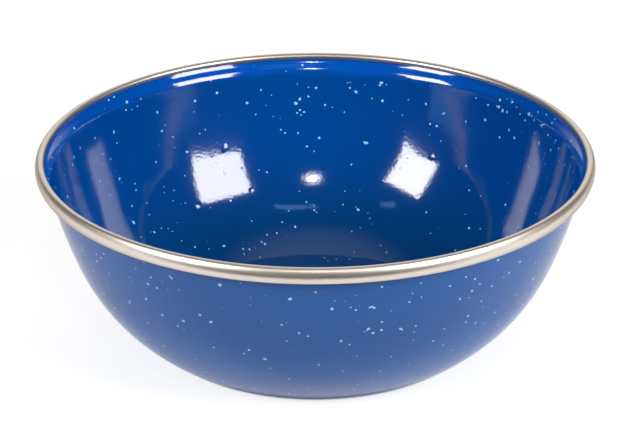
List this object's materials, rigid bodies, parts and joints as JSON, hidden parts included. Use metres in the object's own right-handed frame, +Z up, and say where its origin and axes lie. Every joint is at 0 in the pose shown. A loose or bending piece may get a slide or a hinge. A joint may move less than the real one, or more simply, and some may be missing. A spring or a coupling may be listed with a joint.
{
  "type": "enamelled steel bowl",
  "caption": "Round enamelled steel bowl with a flat base, curved walls and a stepped lip clasped by a folded stainless rim band.",
  "frame": {"origin": "centre of the flat underside, where the bowl rests on a table", "axes": "+Z up along the axis of revolution, towards the open mouth; +X and +Y are any two square directions, because the bowl is round"},
  "size_m": [0.152, 0.152, 0.053],
  "materials": {
    "sheet_steel": "bare pressed sheet, hidden under the coats",
    "inner_enamel": "glossy fused glass coat, deep blue with white specks",
    "outer_enamel": "glossy fused glass coat, deep blue with white specks",
    "stainless_steel": "satin stainless strip"
  },
  "bodies": {
    "root": {"steel_bowl": "sheet_steel", "inner_enamel": "inner_enamel", "outer_enamel": "outer_enamel", "rim_band": "stainless_steel"}
  },
  "joints": []
}
